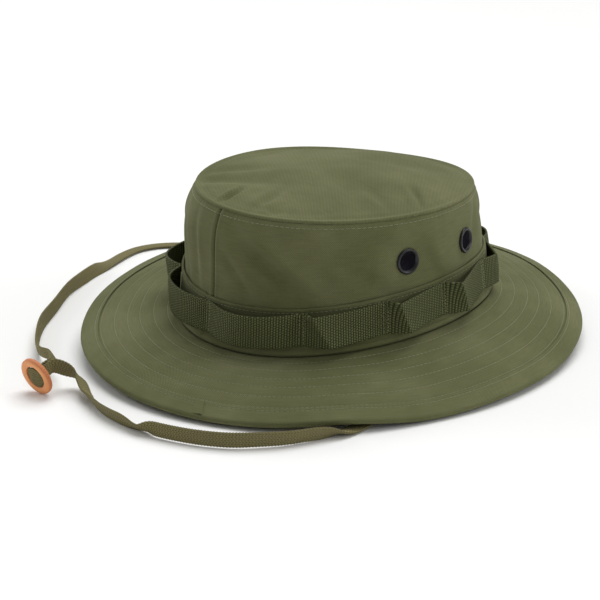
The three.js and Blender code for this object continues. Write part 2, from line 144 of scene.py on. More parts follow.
def tip_height(t):
    lean = TIP_LEAN * math.cos(t - TIP_LEAN_TOWARDS)
    return SEAM_HEIGHT + CROWN_RISE - lean - TIP_SINK * hump(t, TIP_SINK_AT, TIP_SINK_SPREAD)


def edge_height(t):
    lift = EDGE_LIFT * abs(math.sin((t - EDGE_LOW_AT) / 2)) ** 3
    over_strap = STRAP_LIFT * hump(t, STRAP_LIFT_AT, STRAP_LIFT_SPREAD)
    return lift * (1 - hump(t, LOBE_AT, LOBE_SPREAD)) + over_strap


def outward(t):
    return Vector((-math.sin(t) / HEAD_WIDTH, math.cos(t) / HEAD_LENGTH, 0)).normalized()


def tip_outline(t, share):
    reach = TIP_BACK_REACH if math.cos(t) > 0 else TIP_FRONT_REACH
    x = TIP_SIDE_SHIFT - share * TIP_WIDTH * math.sin(t) / 2
    return Vector((x, share * reach * math.cos(t), 0))


def wall_point(t, rise, off=0.0):
    """A point on the crown's side: its rise above the brim seam, and how far it stands off the cloth."""
    share = rise / (tip_height(t) - seam_height(t))
    foot = Vector((-HEAD_WIDTH * math.sin(t) / 2, HEAD_LENGTH * math.cos(t) / 2, 0))
    swell = SHOULDER_SWELL * (0.6 + 0.4 * math.cos(t - SHOULDER_AT))
    belly = swell * math.sin(math.pi * clamp(share) ** 2.5)
    point = foot.lerp(tip_outline(t, 1), share) + outward(t) * (belly + off)
    point.z = seam_height(t) + rise
    return point


def ripple(t, out):
    """The slow waves of the soft brim, which only ever lift it."""
    wave = noise.noise(Vector((2.4 * math.cos(t), 2.4 * math.sin(t), 14 * out)))
    return 1.1 * MM * (0.5 + wave) * clamp(out / (20 * MM))


def brim_point(t, out, off):
    """A point on the brim: its distance out from the crown, and its height off the brim's underside."""
    edge = edge_height(t) + BINDING_CLOTH + LAYER_GAP
    drop = seam_height(t) - edge
    level = math.sqrt(BRIM_WIDTH**2 - drop**2)
    share = out / BRIM_WIDTH
    slope = math.atan2(drop - BRIM_ARCH * math.pi * math.cos(math.pi * share), level)
    point = wall_point(t, 0, BRIM_INSIDE + share * level + off * math.sin(slope))
    arch = BRIM_ARCH * math.sin(math.pi * share)
    point.z = seam_height(t) - share * drop + arch + off * math.cos(slope) + max(0, ripple(t, out))
    return point


# ---- Making pieces ----


def as_object(name, mesh, material, body="hat"):
    piece = bpy.data.objects.new(name, mesh)
    bpy.context.scene.collection.objects.link(piece)
    piece.data.materials.append(material)
    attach(piece, body)
    return piece


def finish_mesh(bm, name):
    for face in bm.faces:
        face.smooth = True
    mesh = bpy.data.meshes.new(name)
    bm.to_mesh(mesh)
    bm.free()
    return mesh


def cloth_mesh(name, columns, rows, place, size):
    """Cloth of a flat size, laid by place(u, v), with u and v from 0 to 1; its UV map is in metres."""
    bm = bmesh.new()
    weave = bm.loops.layers.uv.new("weave")
    bmesh.ops.create_grid(bm, x_segments=columns, y_segments=rows, size=0.5)
    for face in bm.faces:
        for loop in face.loops:
            corner = loop.vert.co
            loop[weave].uv = ((corner.x + 0.5) * size[0], (corner.y + 0.5) * size[1])
    for vert in bm.verts:
        vert.co = place(vert.co.x + 0.5, vert.co.y + 0.5) - BRIM_MIDDLE
    bmesh.ops.remove_doubles(bm, verts=bm.verts, dist=0.01 * MM)
    return bm


def thicken(piece, thickness, offset=-1.0):
    wall = piece.modifiers.new("thickness", "SOLIDIFY")
    wall.thickness = thickness
    wall.offset = offset
    return piece


def ring_cloth(name, profile, place, steps, material, size):
    """Cloth folded into a closed section of [along, off] points and run all the way round the hat."""
    section = [*profile, profile[0]]
    last = len(section) - 1

    def laid(u, v):
        along, off = section[round(v * last)]
        return place(TURN * u, along, off)

    bm = cloth_mesh(name, steps, last, laid, size)
    return as_object(name, finish_mesh(bm, name), material)


def spun_mesh(name, profile, steps, matrix):
    """A closed profile of [radius, height] points turned about the axis of a frame."""
    bm = bmesh.new()
    verts = [bm.verts.new((radius, 0, height)) for radius, height in profile]
    edges = [bm.edges.new(pair) for pair in zip(verts, verts[1:] + verts[:1])]
    bmesh.ops.spin(
        bm, geom=verts + edges, cent=(0, 0, 0), axis=(0, 0, 1), angle=TURN, steps=steps, use_merge=True,
    )
    bmesh.ops.remove_doubles(bm, verts=bm.verts, dist=0.001 * MM)
    bmesh.ops.recalc_face_normals(bm, faces=bm.faces)
    bmesh.ops.transform(bm, matrix=matrix, verts=bm.verts)
    return finish_mesh(bm, name)


def strands(name, runs, radius, material, body="hat"):
    """Many short lengths of thread or wire, each a list of points, made one mesh."""
    curve = bpy.data.curves.new(name, "CURVE")
    curve.dimensions = "3D"
    curve.bevel_depth = radius
    curve.bevel_resolution = 1
    curve.use_fill_caps = True
    for run in runs:
        spline = curve.splines.new("POLY")
        spline.points.add(len(run) - 1)
        for point, place in zip(spline.points, run):
            point.co = (*place, 1)
    holder = bpy.data.objects.new(name, curve)
    mesh = bpy.data.meshes.new_from_object(holder)
    mesh.name = name
    bpy.data.objects.remove(holder)
    bpy.data.curves.remove(curve)
    mesh.shade_smooth()
    mesh.materials.clear()
    return as_object(name, mesh, material, body)


STITCH_PITCH, STITCH_LENGTH = 2.7 * MM, 2.1 * MM
THREAD_RADIUS, THREAD_DIP = 0.15 * MM, 0.25 * MM


def stitches(place, start=0.0, end=1.0, pitch=STITCH_PITCH, length=STITCH_LENGTH, rise=0.12 * MM):
    """A row of stitches on a surface, along place(share, off), with off measured out of the cloth."""
    samples = [place(lerp(start, end, i / 90), 0) for i in range(91)]
    run = sum((b - a).length for a, b in zip(samples, samples[1:]))
    count = max(1, round(run / pitch))
    row = []
    for i in range(count):
        middle = lerp(start, end, (i + 0.5) / count)
        half = (end - start) * length / run / 2
        ends = [(-1, -THREAD_DIP), (-0.72, rise), (0.72, rise), (1, -THREAD_DIP)]
        row.append([place(middle + half * at, off) - BRIM_MIDDLE for at, off in ends])
    return row


# ---- Materials ----


def linear(red, green, blue):
    """A colour given in screen values from 0 to 255."""
    shares = [level / 255 for level in (red, green, blue)]
    return tuple(((c + 0.055) / 1.055) ** 2.4 if c > 10 / 255 else c / 12.92 for c in shares) + (1,)


def add(tree, kind, inputs=(), **settings):
    """A node with its settings and inputs; an input is a value or another node's output."""
    node = tree.nodes.new(kind)
    for name, value in settings.items():
        setattr(node, name, value)
    for key, value in dict(inputs).items():
        if isinstance(value, bpy.types.NodeSocket):
            tree.links.new(value, node.inputs[key])
        else:
            node.inputs[key].default_value = value
    return node


def maths(tree, operation, *values):
    return add(tree, "ShaderNodeMath", enumerate(values), operation=operation).outputs[0]


def blend_colours(tree, share, low, high, mode="MIX"):
    node = add(tree, "ShaderNodeMix", {0: share, 6: low, 7: high}, data_type="RGBA", blend_type=mode)
    return node.outputs[2]


def new_group(name, inputs, outputs):
    group = bpy.data.node_groups.new(name, "ShaderNodeTree")
    for title, kind in inputs:
        group.interface.new_socket(title, in_out="INPUT", socket_type=kind)
    for title, kind in outputs:
        group.interface.new_socket(title, in_out="OUTPUT", socket_type=kind)
    source = group.nodes.new("NodeGroupInput").outputs
    target = group.nodes.new("NodeGroupOutput").inputs
    return group, source, target


def use_group(tree, group, inputs):
    node = tree.nodes.new("ShaderNodeGroup")
    node.node_tree = group
    for key, value in inputs.items():
        if isinstance(value, bpy.types.NodeSocket):
            tree.links.new(value, node.inputs[key])
        else:
            node.inputs[key].default_value = value
    return node.outputs


def twill_group():
    """Fine diagonal ribs crossed by single yarns, on a cloth's own map: a height and a mask of the ribs."""
    group, source, target = new_group(
        "twill_weave",
        [("Map", "NodeSocketVector"), ("Rib", "NodeSocketFloat"), ("Slant", "NodeSocketFloat")],
        [("Height", "NodeSocketFloat"), ("Ribs", "NodeSocketFloat")],
    )
    place = add(group, "ShaderNodeSeparateXYZ", {0: source["Map"]}).outputs
    across = maths(group, "ADD", maths(group, "MULTIPLY", place[0], source["Slant"]), place[1])
    turns = maths(group, "DIVIDE", maths(group, "MULTIPLY", across, TURN), source["Rib"])
    ribs = maths(group, "MULTIPLY_ADD", maths(group, "SINE", turns), 0.5, 0.5)
    yarn = maths(group, "DIVIDE", maths(group, "MULTIPLY", place[0], TURN * 1.6), source["Rib"])
    yarns = maths(group, "MULTIPLY_ADD", maths(group, "SINE", yarn), 0.5, 0.5)
    rough = add(group, "ShaderNodeTexNoise", {"Vector": source["Map"], "Scale": 2600.0, "Detail": 2.0})
    woven = maths(group, "MULTIPLY_ADD", yarns, 0.45, ribs)
    height = maths(group, "MULTIPLY_ADD", rough.outputs[0], 0.8, woven)
    group.links.new(height, target["Height"])
    group.links.new(woven, target["Ribs"])
    return group


def wear_group():
    """Slow fading, fine slubs and dust over cloth, as a mask from 0, fresh, to 1, faded."""
    group, source, target = new_group(
        "cloth_wear",
        [("Place", "NodeSocketVector"), ("Map", "NodeSocketVector")],
        [("Fade", "NodeSocketFloat"), ("Slub", "NodeSocketFloat")],
    )
    slow = add(
        group, "ShaderNodeTexNoise", {"Vector": source["Place"], "Scale": 26.0, "Detail": 3.0},
    ).outputs[0]
    stretched = add(group, "ShaderNodeMapping", {"Vector": source["Map"], "Scale": (90, 1500, 1)}).outputs[0]
    slub = add(group, "ShaderNodeTexNoise", {"Vector": stretched, "Scale": 1.0, "Detail": 2.0}).outputs[0]
    fade = add(group, "ShaderNodeMapRange", {0: slow, 1: 0.35, 2: 0.68})
    group.links.new(fade.outputs[0], target["Fade"])
    group.links.new(slub, target["Slub"])
    return group


TWILL = twill_group()
WEAR = wear_group()


def start_material(name, metallic=0.0):
    material = bpy.data.materials.new(name)
    material.use_nodes = True
    tree = material.node_tree
    tree.nodes.clear()
    shader = add(tree, "ShaderNodeBsdfPrincipled", {"Metallic": metallic})
    tree.links.new(shader.outputs[0], add(tree, "ShaderNodeOutputMaterial").inputs[0])
    return material, tree, shader


def raise_surface(tree, shader, height, distance, strength=0.6):
    bump = add(tree, "ShaderNodeBump", {"Strength": strength, "Distance": distance, "Height": height})
    tree.links.new(bump.outputs[0], shader.inputs["Normal"])


def soften(shader, colour, weight):
    """The nap of fibres that catches light at a grazing angle."""
    shader.inputs["Sheen Weight"].default_value = weight
    shader.inputs["Sheen Roughness"].default_value = 0.5
    shader.inputs["Sheen Tint"].default_value = colour
    shader.inputs["Specular IOR Level"].default_value = 0.25


def cloth_material(name, fresh, faded, rib, slant, relief=0.12 * MM):
    """A woven cloth in two near colours, with its ribs this far apart."""
    material, tree, shader = start_material(name)
    coordinates = add(tree, "ShaderNodeTexCoord").outputs
    weave = use_group(tree, TWILL, {"Map": coordinates["UV"], "Rib": rib, "Slant": slant})
    wear = use_group(tree, WEAR, {"Place": coordinates["Object"], "Map": coordinates["UV"]})
    base = blend_colours(tree, wear["Fade"], linear(*fresh), linear(*faded))
    shade = maths(tree, "MULTIPLY_ADD", weave["Ribs"], 0.5, 0.48)
    grain = maths(tree, "MULTIPLY_ADD", wear["Slub"], 0.52, shade)
    tint = add(tree, "ShaderNodeCombineColor", {0: grain, 1: grain, 2: grain}).outputs[0]
    colour = blend_colours(tree, 1.0, base, tint, "MULTIPLY")
    tree.links.new(colour, shader.inputs["Base Color"])
    tree.links.new(maths(tree, "MULTIPLY_ADD", wear["Fade"], 0.08, 0.84), shader.inputs["Roughness"])
    raise_surface(tree, shader, weave["Height"], relief)
    soften(shader, linear(190, 190, 160), 0.12)
    return material


def webbing_material():
    """Coarse nylon webbing: upright ribs of plain weave, each pick a small bead, in a darker green, with painted
    shade in the pits between the beads.
    """
    material, tree, shader = start_material("webbing_nylon")
    coordinates = add(tree, "ShaderNodeTexCoord").outputs
    place = add(tree, "ShaderNodeSeparateXYZ", {0: coordinates["UV"]}).outputs
    rib, pick = WEBBING_RIB, 1.5 * MM
    along = maths(tree, "DIVIDE", place[0], rib)
    odd = maths(tree, "FLOORED_MODULO", maths(tree, "FLOOR", along), 2.0)
    up = maths(tree, "MULTIPLY_ADD", odd, 0.5, maths(tree, "DIVIDE", place[1], pick))
    side = maths(tree, "ABSOLUTE", maths(tree, "SINE", maths(tree, "MULTIPLY", along, math.pi)))
    bead = maths(tree, "ABSOLUTE", maths(tree, "SINE", maths(tree, "MULTIPLY", up, math.pi)))
    raised = maths(tree, "MULTIPLY", side, maths(tree, "MULTIPLY_ADD", bead, 0.8, 0.2))
    fibre = add(
        tree, "ShaderNodeTexNoise", {"Vector": coordinates["UV"], "Scale": 3800.0, "Detail": 2.0},
    ).outputs[0]
    wear = use_group(tree, WEAR, {"Place": coordinates["Object"], "Map": coordinates["UV"]})
    # Painted shade: the pits between the beads are painted near black and the bead crowns light green; real fading
    # is laid over this next.
    painted_pit_shade = blend_colours(tree, raised, linear(20, 24, 9), linear(112, 117, 72))
    faded_over_pit_shade = blend_colours(tree, maths(tree, "MULTIPLY", wear["Fade"], 0.15), painted_pit_shade, linear(84, 88, 56))
    tree.links.new(faded_over_pit_shade, shader.inputs["Base Color"])
    tree.links.new(maths(tree, "MULTIPLY_ADD", raised, -0.15, 0.78), shader.inputs["Roughness"])
    raise_surface(tree, shader, maths(tree, "MULTIPLY_ADD", fibre, 0.15, raised), 0.5 * MM, 0.9)
    soften(shader, linear(150, 160, 120), 0.05)
    return material


def braid_material():
    """Flat cotton braid: strands crossing in chevrons, with painted shade in the grooves between them, so the
    strands read lighter and yellower on their crowns.
    """
    material, tree, shader = start_material("braided_cotton")
    coordinates = add(tree, "ShaderNodeTexCoord").outputs
    place = add(tree, "ShaderNodeSeparateXYZ", {0: coordinates["UV"]}).outputs
    column = maths(tree, "PINGPONG", place[1], STRAP_WIDTH / 8)
    turns = maths(tree, "MULTIPLY", maths(tree, "ADD", place[0], column), TURN / (1.7 * MM))
    strand = maths(tree, "MULTIPLY_ADD", maths(tree, "SINE", turns), 0.5, 0.5)
    groove = maths(tree, "DIVIDE", column, STRAP_WIDTH / 8)
    valley = maths(tree, "SINE", maths(tree, "MULTIPLY", groove, math.pi))
    bowed = maths(tree, "POWER", valley, 0.5)
    raised = maths(tree, "MULTIPLY_ADD", bowed, 0.5, maths(tree, "MULTIPLY", strand, 0.5))
    fibre = add(
        tree, "ShaderNodeTexNoise", {"Vector": coordinates["UV"], "Scale": 3000.0, "Detail": 3.0},
    ).outputs[0]
    wear = use_group(tree, WEAR, {"Place": coordinates["Object"], "Map": coordinates["UV"]})
    # Painted shade: the grooves between the strands are painted dark brown and the strand crowns light; real fading
    # is laid over this next.
    painted_groove_shade = blend_colours(tree, raised, linear(44, 41, 22), linear(142, 134, 90))
    faded_over_groove_shade = blend_colours(tree, maths(tree, "MULTIPLY", wear["Fade"], 0.4), painted_groove_shade, linear(112, 108, 80))
    tree.links.new(faded_over_groove_shade, shader.inputs["Base Color"])
    tree.links.new(maths(tree, "MULTIPLY_ADD", fibre, 0.1, 0.8), shader.inputs["Roughness"])
    raise_surface(tree, shader, maths(tree, "MULTIPLY_ADD", fibre, 0.4, raised), 0.4 * MM, 0.8)
    soften(shader, linear(190, 185, 150), 0.1)
    return material


def thread_material(name, dark, light):
    """Sewing thread: two plies twisted together, as stripes across each stitch."""
    material, tree, shader = start_material(name)
    coordinates = add(tree, "ShaderNodeTexCoord").outputs
    twist = add(
        tree, "ShaderNodeTexNoise", {"Vector": coordinates["Object"], "Scale": 1800.0, "Detail": 1.0},
    ).outputs[0]
    slow = add(tree, "ShaderNodeTexNoise", {"Vector": coordinates["Object"], "Scale": 60.0}).outputs[0]
    share = maths(tree, "MULTIPLY_ADD", slow, 0.6, maths(tree, "MULTIPLY", twist, 0.5))
    tree.links.new(blend_colours(tree, share, linear(*dark), linear(*light)), shader.inputs["Base Color"])
    tree.links.new(maths(tree, "MULTIPLY_ADD", twist, 0.2, 0.5), shader.inputs["Roughness"])
    raise_surface(tree, shader, twist, 0.05 * MM)
    return material


def painted_metal(name, dark, light, rough, gloss=0.5, metallic=0.25):
    """Black paint on brass, rubbed thinner in small patches."""
    material, tree, shader = start_material(name, metallic=metallic)
    coordinates = add(tree, "ShaderNodeTexCoord").outputs
    fine = add(
        tree, "ShaderNodeTexNoise", {"Vector": coordinates["Object"], "Scale": 900.0, "Detail": 4.0},
    ).outputs[0]
    slow = add(
        tree, "ShaderNodeTexNoise", {"Vector": coordinates["Object"], "Scale": 180.0, "Detail": 2.0},
    ).outputs[0]
    rubbed = add(tree, "ShaderNodeMapRange", {0: slow, 1: 0.45, 2: 0.75}).outputs[0]
    tree.links.new(blend_colours(tree, rubbed, linear(*dark), linear(*light)), shader.inputs["Base Color"])
    tree.links.new(maths(tree, "MULTIPLY_ADD", fine, 0.25, rough), shader.inputs["Roughness"])
    shader.inputs["Specular IOR Level"].default_value = gloss
    raise_surface(tree, shader, fine, 0.04 * MM, 0.4)
    return material


def leather_material():
    """Tan leather with a face coloured by dye: pebbled grain, and a darker burnished rim."""
    material, tree, shader = start_material("tan_leather")
    coordinates = add(tree, "ShaderNodeTexCoord").outputs
    pebble = add(tree, "ShaderNodeTexVoronoi", {"Vector": coordinates["Object"], "Scale": 1700.0}).outputs[0]
    cloud = add(
        tree, "ShaderNodeTexNoise", {"Vector": coordinates["Object"], "Scale": 240.0, "Detail": 4.0},
    ).outputs[0]
    rim_mask = add(tree, "ShaderNodeAttribute", attribute_name="rim").outputs["Fac"]
    rim = add(tree, "ShaderNodeMapRange", {0: rim_mask})
    tan = blend_colours(tree, cloud, linear(224, 142, 80), linear(244, 174, 114))
    grained = blend_colours(tree, maths(tree, "MULTIPLY", pebble, 0.18), tan, linear(190, 112, 62))
    edged = blend_colours(tree, rim.outputs[0], grained, linear(196, 118, 70))
    tree.links.new(edged, shader.inputs["Base Color"])
    tree.links.new(maths(tree, "MULTIPLY_ADD", cloud, 0.25, 0.42), shader.inputs["Roughness"])
    raise_surface(tree, shader, maths(tree, "MULTIPLY_ADD", pebble, 0.6, cloud), 0.12 * MM, 0.5)
    return material


def floor_material():
    material, tree, shader = start_material("pale_floor")
    coordinates = add(tree, "ShaderNodeTexCoord").outputs
    cloud = add(tree, "ShaderNodeTexNoise", {"Vector": coordinates["Object"], "Scale": 3.0}).outputs[0]
    pale = blend_colours(tree, cloud, linear(243, 243, 242), linear(247, 247, 246))
    tree.links.new(pale, shader.inputs["Base Color"])
    shader.inputs["Roughness"].default_value = 0.9
    return material


COTTON = cloth_material("cotton_twill", (84, 87, 53), (99, 101, 69), 1.15 * MM, 1.0)
LINING = cloth_material("brim_lining", (80, 83, 50), (92, 95, 65), 1.15 * MM, -1.0)
CANVAS = cloth_material("interlining_canvas", (170, 166, 145), (186, 182, 160), 0.9 * MM, 0.0)
SWEATBAND = cloth_material("sweatband_twill", (72, 77, 52), (88, 91, 66), 0.6 * MM, 1.0)
LABEL = cloth_material("label_satin", (186, 181, 158), (200, 196, 176), 0.4 * MM, 0.0, 0.05 * MM)
NYLON = webbing_material()
BRAID = braid_material()
THREAD = thread_material("sewing_thread", (108, 111, 80), (156, 158, 126))
TACK_THREAD = thread_material("tack_thread", (92, 96, 64), (158, 160, 122))
BLACK = painted_metal("black_paint", (18, 17, 20), (34, 32, 37), 0.22)
SCREEN = painted_metal("screen_wire", (22, 20, 26), (36, 33, 40), 0.72, gloss=0.05, metallic=0)
TAN = leather_material()

# ---- Chin strap ----

SLIDER_MIDDLE = Vector((44, 190, 11.4)) * MM
SLIDER_AXIS = Vector((0.12, -0.96, 0.26)).normalized()
SLIDER_SIDE = Vector((0, 0, 1)).cross(SLIDER_AXIS).normalized()
SLIDER_UP = SLIDER_AXIS.cross(SLIDER_SIDE)
SLIDER_FRAME = Matrix((SLIDER_SIDE, SLIDER_UP, SLIDER_AXIS)).transposed().to_4x4()
SLIDER_FRAME.translation = SLIDER_MIDDLE
STRAIGHT_RUN = 12 * MM
# The braid ends and folds inside the hole. The frame's own runs end just in front of the leather.
RUN_END = 0.3 * MM
RUN_OFFSET = (STRAP + GAP) / 2

LEFT_RUN = [
    (80, 0, 25), (81, -5, 16), (86, -13, 7), (97, -24, 2.6), (115, -36, 1.6), (140, -46, 1.3),
    (168, -52, 1.3), (192, -50, 1.3), (206, -40, 1.3), (214, -27, 1.3), (216, -14, 1.3), (213, -1, 1.3),
    (207, 13, 1.3), (199, 29, 1.3), (190, 46, 1.3), (181, 62, 1.3), (170, 79, 1.3), (150, 103, 1.3),
    (132, 125, 1.3), (113, 142, 2), (96, 154, 5), (76, 164, 10), (59, 169, 14),
]
RIGHT_RUN = [
    (-80, 0, 25), (-81, 5, 16), (-84, 14, 7), (-90, 28, 1.8), (-98, 46, 1.3), (-106, 65, 1.3),
    (-111, 83, 1.3), (-113, 98, 1.3), (-111, 111, 1.3), (-107, 124, 1.3), (-102, 136, 1.3),
    (-95, 147, 1.3), (-86, 158, 1.3), (-74, 167, 1.3), (-60, 174, 1.3), (-45, 179, 1.3), (-28, 182, 1.3),
    (-8, 182, 1.3), (9, 178, 2), (22, 173, 4.5), (35, 169, 8.5),
]

# How the braid turns over along each run: at shares of its length, the angle between its face and
# straight up. It stands on edge at 90 degrees.
LEFT_TURNS = [
    (0, 90), (0.08, 0), (0.46, 0), (0.56, 42), (0.64, 72), (0.74, 54), (0.84, 80), (0.93, 60), (1, 90),
]
RIGHT_TURNS = [
    (0, 90), (0.09, 0), (0.33, 0), (0.42, 50), (0.55, 84), (0.66, 78), (0.70, 24), (0.75, 42), (0.91, 38),
    (0.95, 86), (1, 90),
]


def between(stops, share):
    """The value at a share, eased between the stops on each side of it."""
    for (a, low), (b, high) in zip(stops, stops[1:]):
        if share <= b:
            part = clamp((share - a) / (b - a))
            return lerp(low, high, part * part * (3 - 2 * part))
    return stops[-1][1]


def smooth_line(points, spacing):
    """A smooth line through the points, as places this far apart."""
    ends = [points[0] * 2 - points[1], *points, points[-1] * 2 - points[-2]]
    fine = []
    for p0, p1, p2, p3 in zip(ends, ends[1:], ends[2:], ends[3:]):
        knots = [0.0]
        for a, b in ((p0, p1), (p1, p2), (p2, p3)):
            knots.append(knots[-1] + max(math.sqrt((b - a).length), 1e-6))
        k0, k1, k2, k3 = knots
        steps = max(2, round((p2 - p1).length / (0.3 * spacing)))
        for i in range(steps):
            k = lerp(k1, k2, i / steps)
            a1 = p0.lerp(p1, (k - k0) / (k1 - k0))
            a2 = p1.lerp(p2, (k - k1) / (k2 - k1))
            a3 = p2.lerp(p3, (k - k2) / (k3 - k2))
            b1 = a1.lerp(a2, (k - k0) / (k2 - k0))
            b2 = a2.lerp(a3, (k - k1) / (k3 - k1))
            fine.append(b1.lerp(b2, (k - k1) / (k2 - k1)))
    fine.append(points[-1].copy())
    lengths = [0.0]
    for a, b in zip(fine, fine[1:]):
        lengths.append(lengths[-1] + (b - a).length)
    count = round(lengths[-1] / spacing)
    line, at = [], 0
    for i in range(count + 1):
        target = lengths[-1] * i / count
        while at < len(fine) - 2 and lengths[at + 1] < target:
            at += 1
        step = lengths[at + 1] - lengths[at]
        line.append(fine[at].lerp(fine[at + 1], clamp((target - lengths[at]) / step) if step else 0))
    return line


BRAID_STEP = 0.6 * MM
BRAID_SIDES = 28
STRAND_RELIEF = 0.16 * MM
STRAND_PITCH = 1.7 * MM


def braid_mesh(name, line, faces, widths=None):
    """A flat braid along a line, with a face direction at each place on it, and widths where they change."""
    bm = bmesh.new()
    weave = bm.loops.layers.uv.new("weave")
    last = len(line) - 1
    bmesh.ops.create_grid(bm, x_segments=last, y_segments=BRAID_SIDES, size=0.5)
    for face in bm.faces:
        for loop in face.loops:
            u, v = loop.vert.co.x + 0.5, loop.vert.co.y + 0.5
            across = STRAP_WIDTH / 2 * math.cos(TURN * v)
            loop[weave].uv = (u * last * BRAID_STEP, across + STRAP_WIDTH)
    for vert in bm.verts:
        u, v = vert.co.x + 0.5, vert.co.y + 0.5
        step = round(u * last)
        width = widths[step] if widths else STRAP_WIDTH
        tangent = (line[min(step + 1, last)] - line[max(step - 1, 0)]).normalized()
        normal = (faces[step] - tangent * faces[step].dot(tangent)).normalized()
        side = tangent.cross(normal)
        across = math.cos(TURN * v)
        height = math.copysign(abs(math.sin(TURN * v)) ** 0.6, math.sin(TURN * v))
        column = abs((across * 2 + 0.5) % 1 - 0.5) * 2
        strand = math.sin(TURN * (step * BRAID_STEP / STRAND_PITCH + 0.7 * column)) * STRAND_RELIEF
        half = STRAP / 2 - STRAND_RELIEF + strand
        vert.co = line[step] + side * across * (width / 2 - STRAND_RELIEF + strand) + normal * height * half
    bmesh.ops.remove_doubles(bm, verts=bm.verts, dist=0.004 * MM)
    rims = [edge for edge in bm.edges if edge.is_boundary]
    bmesh.ops.holes_fill(bm, edges=rims, sides=0)
    bmesh.ops.recalc_face_normals(bm, faces=bm.faces)
    return finish_mesh(bm, name)


def run_line(points, side):
    """A run's centreline from the ear to the slider, raised where the braid stands on edge."""
    stops = (STRAIGHT_RUN, STRAIGHT_RUN / 2, RUN_END)
    through = [SLIDER_FRAME @ Vector((side * RUN_OFFSET, 0, along)) for along in stops]
    return smooth_line([Vector(p) * MM for p in points] + through, BRAID_STEP)


def strap_run(name, node, points, turns, side, length):
    line = run_line(points, side)
    last = len(line) - 1
    faces = []
    for step, place in enumerate(line):
        share = step / last
        roll = math.radians(between(turns, share))
        tangent = (line[min(step + 1, last)] - line[max(step - 1, 0)]).normalized()
        level = Vector((0, 0, 1)).cross(tangent).normalized()
        over = tangent.cross(level)
        faces.append(over * math.cos(roll) + level * math.sin(roll) * side)
        on_edge = STRAP_WIDTH / 2 * abs(math.sin(roll)) + STRAP / 2 * math.cos(roll) + 0.6 * MM
        place.z = max(place.z, on_edge)
    line = [place - BRIM_MIDDLE for place in line]
    braid = as_object(name, braid_mesh(name, line, faces), BRAID)
    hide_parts(node)
    return braid, line


def strap_bight():
    """The fold of the braid that fills the slider's hole, where one run turns back into the other."""
    reach, swell = 1.2 * MM, 4.9 * MM
    front = RUN_END - 0.2 * MM
    turn = [(-RUN_OFFSET, RUN_END + MM), (-swell * 0.7, front + 0.5 * MM), (-swell, front - 0.3 * MM)]
    crown = [(-swell * 0.6, front - reach * 0.9), (0, front - reach), (swell * 0.6, front - reach * 0.9)]
    back = [(-x, z) for x, z in reversed(turn)]
    places = [SLIDER_FRAME @ Vector((x, 0, z)) - BRIM_MIDDLE for x, z in turn + crown + back]
    line = smooth_line(places, BRAID_STEP / 2)
    last = len(line) - 1
    round_edge = SLIDER_BORE / 2 - 0.1 * MM
    faces, widths = [], []
    for step, place in enumerate(line):
        tangent = (line[min(step + 1, last)] - line[max(step - 1, 0)]).normalized()
        faces.append(tangent.cross(SLIDER_UP))
        aside = (place + BRIM_MIDDLE - SLIDER_MIDDLE).dot(SLIDER_SIDE)
        ahead = RUN_END - (place + BRIM_MIDDLE - SLIDER_MIDDLE).dot(SLIDER_AXIS)
        rounded = 2 * math.sqrt(max(0, round_edge**2 - aside**2))
        widths.append(lerp(STRAP_WIDTH * 0.8, rounded, clamp(ahead / (0.6 * MM))))
    bight = as_object("braid_fold", braid_mesh("braid_fold", line, faces, widths), BRAID)
    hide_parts("chin_strap_bight")
    return bight


def strap_slider():
    """A punched leather disc with a pinked rim, slightly dished."""
    half = SLIDER_LEATHER / 2
    ease = 0.5 * MM
    inner, outer = SLIDER_BORE / 2, SLIDER_OUTER / 2
    mid = (inner + outer) / 2
    profile = [
        (inner, -half + ease), (inner + ease, -half), (mid, -half - 0.15 * MM), (outer - ease, -half),
        (outer, -half + ease), (outer, half - ease), (outer - ease, half), (mid, half), (inner + ease, half),
        (inner, half - ease),
    ]
    teeth, depth = 44, 0.35 * MM
    mesh = spun_mesh("leather_slider", profile, teeth * 4, Matrix.Identity(4))
    rim = mesh.attributes.new("rim", "FLOAT", "POINT")
    for vert in mesh.vertices:
        radius = math.hypot(vert.co.x, vert.co.y)
        edge = clamp((radius - outer + 2 * ease) / (2 * ease))
        tooth = depth * (0.5 - 0.5 * math.cos(teeth * math.atan2(vert.co.y, vert.co.x))) * edge
        uneven = 1 + 0.02 * math.sin(2 * math.atan2(vert.co.y, vert.co.x))
        vert.co.x *= (radius - tooth) / radius * uneven
        vert.co.y *= (radius - tooth) / radius * uneven
        hole_lip = clamp((inner + ease - radius) / ease)
        face = clamp(half - abs(vert.co.z) + 0.5 * ease, 0, ease) / ease
        rim.data[vert.index].value = max(edge * face, hole_lip)
        vert.co = SLIDER_FRAME @ vert.co - BRIM_MIDDLE
    slider = as_object("leather_slider", mesh, TAN, "slider")
    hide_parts("strap_slider")
    return slider


LEFT_LENGTH, RIGHT_LENGTH = 0.469, 0.34
left_strap, left_line = strap_run("braid_left", "chin_strap_left", LEFT_RUN, LEFT_TURNS, 1, LEFT_LENGTH)
right_strap, right_line = strap_run(
    "braid_right", "chin_strap_right", RIGHT_RUN, RIGHT_TURNS, -1, RIGHT_LENGTH,
)
fold = strap_bight()
slider = strap_slider()

# ---- Crown ----

